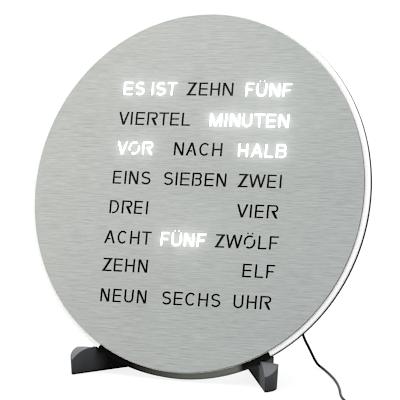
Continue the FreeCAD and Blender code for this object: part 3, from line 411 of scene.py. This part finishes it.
def rubber(name, base, rough=0.6, spec=0.4):
    m = Mat(name)
    m.set(Specular_IOR_Level=spec)
    c = m.coords()
    m.soften(0.0003)
    n = m.noise(c, 220.0, 5.0, 0.65)
    m.colour(m.ramp(n, [(0.3, tint(base, 0.8)), (0.7, tint(base, 1.3))]))
    m.rough(m.remap(m.noise(c, 90.0, 3.0), 0.3, 0.7, rough - 0.06, rough + 0.06))
    m.bump(m.noise(c, 2600.0, 3.0), 0.12, 0.0001)
    return m.m


def strip_finish():
    """black strip; its middle is a greyish olive, a painted reflection of the floor"""
    m = Mat("strip_black")
    m.set(Specular_IOR_Level=0.02)
    d = m.dial()
    x = m.node("SeparateXYZ")
    m.link(d, x.inputs[0])
    ang = m.math("ARCTAN2", x.outputs[1], x.outputs[0])            # -pi .. pi, -90 deg straight down
    # noise for the strip's roughness, also jittering the edge of the painted reflection
    rough_and_reflection_jitter = m.noise(m.scaled(d, (260.0, 260.0, 0.0)), 1.0, 4.0, 0.6)
    ang = m.math("ADD", ang, m.math("MULTIPLY", m.math("SUBTRACT", rough_and_reflection_jitter, 0.5), 0.03))
    f = m.remap(ang, math.radians(-120.0), math.radians(-56.0), 0.0, 1.0)
    # painted reflection of the floor: greyish olive in the middle, black towards the feet
    stops = [(0.20, 0.002), (0.50, 0.085), (0.78, 0.115), (0.81, 0.004)]
    face = m.ramp(f, [(p, (0.95 * v, v, 0.87 * v)) for p, v in stops])
    # painted highlight: over the rim the strip is paler, most of all in its greyish middle
    edge = m.ramp(f, [(0.20, (0.035, 0.036, 0.034)), (0.50, (0.27, 0.28, 0.26)), (0.78, (0.27, 0.28, 0.26)), (0.81, (0.04, 0.04, 0.04))])
    g = m.node("NewGeometry")
    dot = m.node("VectorMath", operation="DOT_PRODUCT")
    m.link(g.outputs["True Normal"], dot.inputs[0])
    dot.inputs[1].default_value = NRM
    mix = m.node("Mix", data_type="RGBA")
    m.link(m.remap(dot.outputs["Value"], 0.2, 0.6, 0.0, 1.0), mix.inputs["Factor"])
    m.link(edge, mix.inputs[6])
    m.link(face, mix.inputs[7])
    m.colour(mix.outputs[2])
    m.rough(m.remap(rough_and_reflection_jitter, 0.3, 0.7, 0.45, 0.62))
    m.bump(m.noise(m.coords(), 2600.0, 3.0), 0.08, 0.0001)
    return m.m


def board():
    m = Mat("board_dark")
    m.set(Coat_Weight=0.3)
    d = m.dial()
    v = m.node("TexVoronoi", feature="DISTANCE_TO_EDGE")
    m.link(m.scaled(d, (95.0, 95.0, 0.0)), v.inputs["Vector"])
    v.inputs["Scale"].default_value = 1.0
    tr = m.remap(v.outputs[0], 0.03, 0.05, 0.0, 1.0)
    n = m.noise(d, 60.0, 3.0)
    s = m.math("MULTIPLY", tr, m.math("ADD", 0.7, m.math("MULTIPLY", n, 0.6)))
    m.colour(m.ramp(s, [(0.0, (0.030, 0.034, 0.032)), (0.9, (0.010, 0.012, 0.011))]))
    m.rough(m.remap(n, 0.3, 0.7, 0.25, 0.4))
    m.bump(tr, 0.2, 0.00006)
    return m.m


def woven(name, base):
    m = Mat(name)
    c = m.coords()
    w1 = m.node("TexWave", wave_type="BANDS", bands_direction="X")
    w2 = m.node("TexWave", wave_type="BANDS", bands_direction="Z")
    for w in (w1, w2):
        m.link(c, w.inputs["Vector"])
        w.inputs["Scale"].default_value = 900.0
        w.inputs["Distortion"].default_value = 0.6
    s = m.math("MULTIPLY", w1.outputs[1], w2.outputs[1])
    m.colour(m.ramp(s, [(0.0, tint(base, 0.4)), (0.8, tint(base, 1.6))]))
    m.set(Roughness=0.85, Sheen_Weight=0.4)
    m.bump(s, 0.5, 0.0003)
    return m.m


FINISH = {
    "front_plate": brushed_front(),
    "acrylic_disc": opal(),
    "mask_film": film("mask_black", (0.0015, 0.0015, 0.0016), 0.50, 0.015),
    "dark_windows": film("smoked_dark", (0.014, 0.0142, 0.0140), 0.42, 0.02),
    "lit_windows": lit_window(),
    "grip_strip": strip_finish(),
}
zinc = metal("zinc_steel", (0.60, 0.60, 0.57), 0.32)
chrome = metal("nickel_plate", (0.72, 0.71, 0.68), 0.18)
cover = moulded("cover_black", (0.016, 0.0165, 0.0175), 0.55, 0.10, 900, 0.22, 0.0006, spec=0.22)
panel_black = moulded("panel_black", (0.03, 0.03, 0.031), 0.50, 0.08, 1100, 0.06, 0.0003, spec=0.15)
# the feet carry painted shade near other pieces and a painted shadow of the disc on their inner sides
slate = moulded("foot_slate", (0.074, 0.079, 0.086), 0.48, 0.10, 800, 0.14, 0.0006, spec=0.28, painted_shade_reach=0.045)
chip = moulded("chip_black", (0.025, 0.025, 0.027), 0.5, 0.1, 1200, 0.1, 0.0001)
holder = moulded("holder_black", (0.035, 0.035, 0.036), 0.45, 0.1, 1000, 0.1, 0.0002)
keys = moulded("button_black", (0.05, 0.05, 0.054), 0.4, 0.08, 1000, 0.1, 0.0003)
flex = moulded("cord_black", (0.005, 0.005, 0.0053), 0.5, 0.08, 700, 0.08, 0.0, 0.15, spec=0.12)
pad = rubber("black_rubber", (0.018, 0.018, 0.018), 0.7)
white = moulded("white_plastic", (0.80, 0.80, 0.78), 0.5, 0.1, 900, 0.1, 0.0002, 0.04)
led = moulded("led_body", (0.82, 0.80, 0.62), 0.3, 0.1, 900, 0.05, 0.0001, 0.05)
fibre = moulded("black_fibre", (0.03, 0.03, 0.03), 0.6, 0.1, 900, 0.1, 0.0001)
supply = moulded("supply_black", (0.032, 0.032, 0.034), 0.5, 0.1, 900, 0.2, 0.0006)
FINISH.update({
    "plate_studs": zinc, "stud_nuts": zinc, "stud_washers": fibre, "board_screws": zinc, "housing_screws": zinc, "clock_crystal": zinc,
    "bridge_screws": zinc, "coin_cell": chrome, "supply_pins": chrome, "word_baffle": white, "word_leds": led,
    "led_board": board(), "driver_chips": chip, "control_chip": chip, "tact_switches": chip, "cell_holder": holder,
    "dc_jack": holder, "button_hour": keys, "button_minute": keys, "button_dim": keys, "back_panel": panel_black, "rear_housing": cover,
    "battery_door": cover, "wall_pads": pad, "foot_pads": pad, "foot_right": slate, "foot_left": slate,
    "rear_bridge": slate, "dc_plug": flex, "plug_relief": flex, "cord_tube": flex, "cord_coil": flex,
    "cord_tail": flex, "coil_tie": woven("tie_black", (0.03, 0.03, 0.03)), "supply_relief": flex, "supply_body": supply,
})
for name, mat in FINISH.items():
    o = NODES[name]
    if not o.material_slots:
        o.data.materials.append(mat)
    for s in o.material_slots:
        s.material = mat
lead.data.materials.append(flex)

# ---------------------------------------------------------------------------
# floor and light
# ---------------------------------------------------------------------------
bm = bmesh.new()
bmesh.ops.create_grid(bm, x_segments=8, y_segments=8, size=6.0)
fm = bpy.data.meshes.new("floor")
bm.to_mesh(fm)
bm.free()
floor = bpy.data.objects.new("floor", fm)
bpy.context.scene.collection.objects.link(floor)
f = Mat("floor_pale")
f.set(Roughness=0.9, Specular_IOR_Level=0.1)
f.colour(f.ramp(f.noise(f.coords(), 3.0, 3.0), [(0.3, (0.118, 0.118, 0.118)), (0.7, (0.123, 0.123, 0.123))]))
f.b.inputs["Emission Color"].default_value = (1.0, 1.0, 1.0, 1)
# brighter to the eye than to the object it carries
rays = f.node("LightPath")
f.link(f.remap(rays.outputs["Is Camera Ray"], 0.0, 1.0, 0.28, 0.82), f.b.inputs["Emission Strength"])
floor.data.materials.append(f.m)

world = bpy.data.worlds.new("studio")
bpy.context.scene.world = world
world.use_nodes = True
wt = world.node_tree
wt.nodes.clear()
w_out = wt.nodes.new("ShaderNodeOutputWorld")
w_dir = wt.nodes.new("ShaderNodeTexCoord").outputs["Generated"]


def sky_part(axis, pts, colour, smooth=True):
    """light that depends on the direction only, along one axis"""
    dot = wt.nodes.new("ShaderNodeVectorMath")
    dot.operation = "DOT_PRODUCT"
    wt.links.new(w_dir, dot.inputs[0])
    dot.inputs[1].default_value = Vector(axis).normalized()
    mr = wt.nodes.new("ShaderNodeMapRange")
    mr.interpolation_type = "SMOOTHSTEP" if smooth else "LINEAR"
    wt.links.new(dot.outputs["Value"], mr.inputs[0])
    for i, v in enumerate(pts):
        mr.inputs[i + 1].default_value = v
    e = wt.nodes.new("ShaderNodeBackground")
    e.inputs[0].default_value = (*colour, 1)
    wt.links.new(mr.outputs[0], e.inputs[1])
    return e.outputs[0]


parts = [
    sky_part((0, 0, 1), (0.0, 1.0, 0.53, 1.92), (0.975, 1.0, 1.005), False),
    sky_part((-0.80, -0.40, 0.48), (0.70, 0.966, 0.0, 1.2), (1.0, 0.97, 0.89)),
    sky_part((-0.43, 0.88, 0.22), (0.60, 0.96, 0.0, 1.3), (1.0, 1.0, 1.0)),
]
total = parts[0]
for p in parts[1:]:
    add = wt.nodes.new("ShaderNodeAddShader")
    wt.links.new(total, add.inputs[0])
    wt.links.new(p, add.inputs[1])
    total = add.outputs[0]
wt.links.new(total, w_out.inputs[0])


def area(name, loc, target, size, power, colour=(1, 1, 1)):
    d = bpy.data.lights.new(name, "AREA")
    d.shape = "RECTANGLE"
    d.size, d.size_y = size
    d.energy = power
    d.color = colour
    o = bpy.data.objects.new(name, d)
    o.location = loc
    o.rotation_mode = "QUATERNION"
    o.rotation_quaternion = (Vector(target) - Vector(loc)).to_track_quat("-Z", "Y")
    bpy.context.scene.collection.objects.link(o)
    return o


area("top", (0.15, 0.25, 2.4), (0, 0, 0.1), (1.8, 1.8), 40.0)

scene = bpy.context.scene
scene.view_settings.view_transform = "Standard"
scene.view_settings.look = "None"
scene.view_settings.exposure = 0.0
scene.view_settings.gamma = 1.0
CRISP = 0.03
BLOOM_SIZE = 0.15

# a slightly crisped picture, with a soft bloom round the lit words added to it
scene.use_nodes = True
ct = scene.node_tree
ct.nodes.clear()
layers = ct.nodes.new("CompositorNodeRLayers")
clip = ct.nodes.new("CompositorNodeMixRGB")
clip.blend_type = "MIX"
clip.use_clamp = True
clip.inputs[0].default_value = 0.0
crisp = ct.nodes.new("CompositorNodeFilter")
crisp.filter_type = "SHARPEN"
crisp.inputs["Fac"].default_value = CRISP
glare = ct.nodes.new("CompositorNodeGlare")
glare.glare_type = "BLOOM"
glare.inputs["Threshold"].default_value = 1.15
glare.inputs["Size"].default_value = BLOOM_SIZE
glare.inputs["Strength"].default_value = 1.6
total = ct.nodes.new("CompositorNodeMixRGB")
total.blend_type = "ADD"
total.inputs[0].default_value = 1.0
comp = ct.nodes.new("CompositorNodeComposite")
ct.links.new(layers.outputs["Image"], clip.inputs[1])
ct.links.new(layers.outputs["Image"], glare.inputs["Image"])
ct.links.new(clip.outputs[0], crisp.inputs["Image"])
ct.links.new(crisp.outputs[0], total.inputs[1])
ct.links.new(glare.outputs["Glare"], total.inputs[2])
ct.links.new(total.outputs[0], comp.inputs["Image"])
